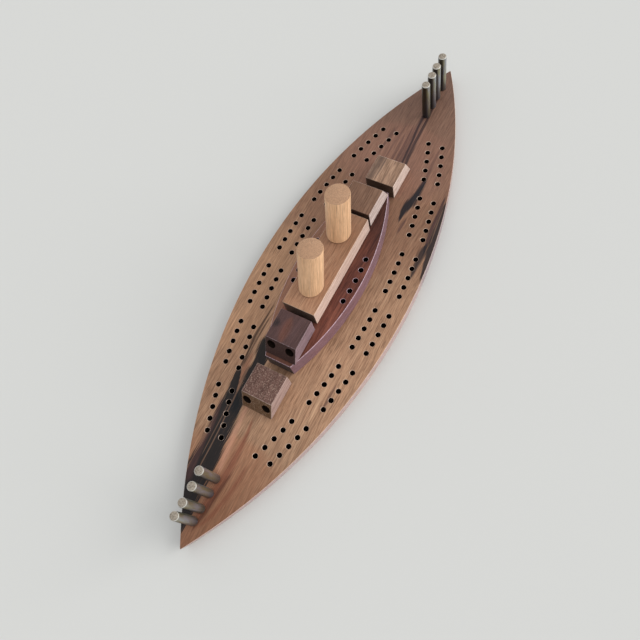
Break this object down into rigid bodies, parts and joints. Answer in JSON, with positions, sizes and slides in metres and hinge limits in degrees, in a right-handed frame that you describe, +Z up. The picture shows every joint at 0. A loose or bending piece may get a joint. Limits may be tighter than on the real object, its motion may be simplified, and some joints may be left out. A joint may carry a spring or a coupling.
{
  "type": "cribbage board",
  "caption": "Battleship-shaped wooden cribbage board: pointed hull with scoring holes, raised deck, bridge with raked funnels, stepped gun turrets and steel pegs that lift out.",
  "frame": {"origin": "on the table, under the middle of the hull's underside", "axes": "+X towards the stern, +Y to starboard, +Z up"},
  "size_m": [0.4222, 0.121, 0.0779],
  "materials": {
    "hull_walnut": "oiled mid-brown walnut with near-black streaks",
    "deck_rosewood": "dark red-brown, oiled",
    "bridge_wood": "light tan-brown, fine sanded",
    "funnel_dowel": "pale yellow-tan hardwood dowel, bare",
    "bow_turret_wood": "dark purple-brown, rough sanded",
    "stern_turret_wood": "greyish brown, fine sanded",
    "peg_steel": "smooth bare steel"
  },
  "bodies": {
    "ship": {"hull_board": "hull_walnut", "upper_deck": "deck_rosewood", "bridge_block": "bridge_wood", "funnel_front": "funnel_dowel", "funnel_rear": "funnel_dowel", "turret_bow_lower": "bow_turret_wood", "turret_bow_upper": "bow_turret_wood", "turret_stern_upper": "stern_turret_wood", "turret_stern_lower": "stern_turret_wood"},
    "peg_bow_1": {"peg_bow_1": "peg_steel"},
    "peg_bow_2": {"peg_bow_2": "peg_steel"},
    "peg_bow_3": {"peg_bow_3": "peg_steel"},
    "peg_bow_4": {"peg_bow_4": "peg_steel"},
    "peg_stern_1": {"peg_stern_1": "peg_steel"},
    "peg_stern_2": {"peg_stern_2": "peg_steel"},
    "peg_stern_3": {"peg_stern_3": "peg_steel"},
    "peg_stern_4": {"peg_stern_4": "peg_steel"}
  },
  "joints": [
    {"name": "peg_bow_1_lift", "type": "slide", "parent": "ship", "child": "peg_bow_1", "axis": [0, 0, 1], "range_m": [0, 0.02]},
    {"name": "peg_bow_2_lift", "type": "slide", "parent": "ship", "child": "peg_bow_2", "axis": [0, 0, 1], "range_m": [0, 0.02]},
    {"name": "peg_bow_3_lift", "type": "slide", "parent": "ship", "child": "peg_bow_3", "axis": [0, 0, 1], "range_m": [0, 0.02]},
    {"name": "peg_bow_4_lift", "type": "slide", "parent": "ship", "child": "peg_bow_4", "axis": [0, 0, 1], "range_m": [0, 0.02]},
    {"name": "peg_stern_1_lift", "type": "slide", "parent": "ship", "child": "peg_stern_1", "axis": [0, 0, 1], "range_m": [0, 0.02]},
    {"name": "peg_stern_2_lift", "type": "slide", "parent": "ship", "child": "peg_stern_2", "axis": [0, 0, 1], "range_m": [0, 0.02]},
    {"name": "peg_stern_3_lift", "type": "slide", "parent": "ship", "child": "peg_stern_3", "axis": [0, 0, 1], "range_m": [0, 0.02]},
    {"name": "peg_stern_4_lift", "type": "slide", "parent": "ship", "child": "peg_stern_4", "axis": [0, 0, 1], "range_m": [0, 0.02]}
  ]
}
